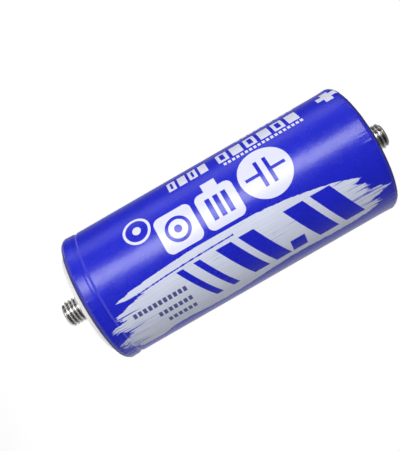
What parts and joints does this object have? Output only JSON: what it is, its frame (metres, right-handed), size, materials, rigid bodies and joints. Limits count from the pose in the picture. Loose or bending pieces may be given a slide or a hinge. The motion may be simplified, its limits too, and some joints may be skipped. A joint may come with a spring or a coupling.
{
  "type": "supercapacitor",
  "caption": "Cylindrical supercapacitor cell in a printed blue heat-shrink sleeve, with a threaded stud at each end.",
  "frame": {"origin": "on the cell's axis, at the root of the negative stud, on the lid's raised face", "axes": "+Z along the cell's axis to the positive end; +X towards the lid's filler plug"},
  "size_m": [0.0606, 0.0606, 0.1639],
  "materials": {
    "sleeve": "glossy printed film",
    "can": "drawn, satin",
    "terminal": "turned, bright",
    "collector": "rolled sheet",
    "gasket": "matte",
    "insulator": "natural",
    "wrap": "clear amber tape",
    "electrode": "carbon coated"
  },
  "bodies": {
    "root": {"sleeve": "sleeve", "can": "can", "lid": "terminal", "positive_terminal": "terminal", "sealing_gasket": "gasket", "insulating_ring": "insulator", "negative_collector": "collector", "positive_collector": "collector", "winding": "electrode", "winding_wrap": "wrap", "filler_plug": "terminal", "filler_seal": "gasket"}
  },
  "joints": []
}
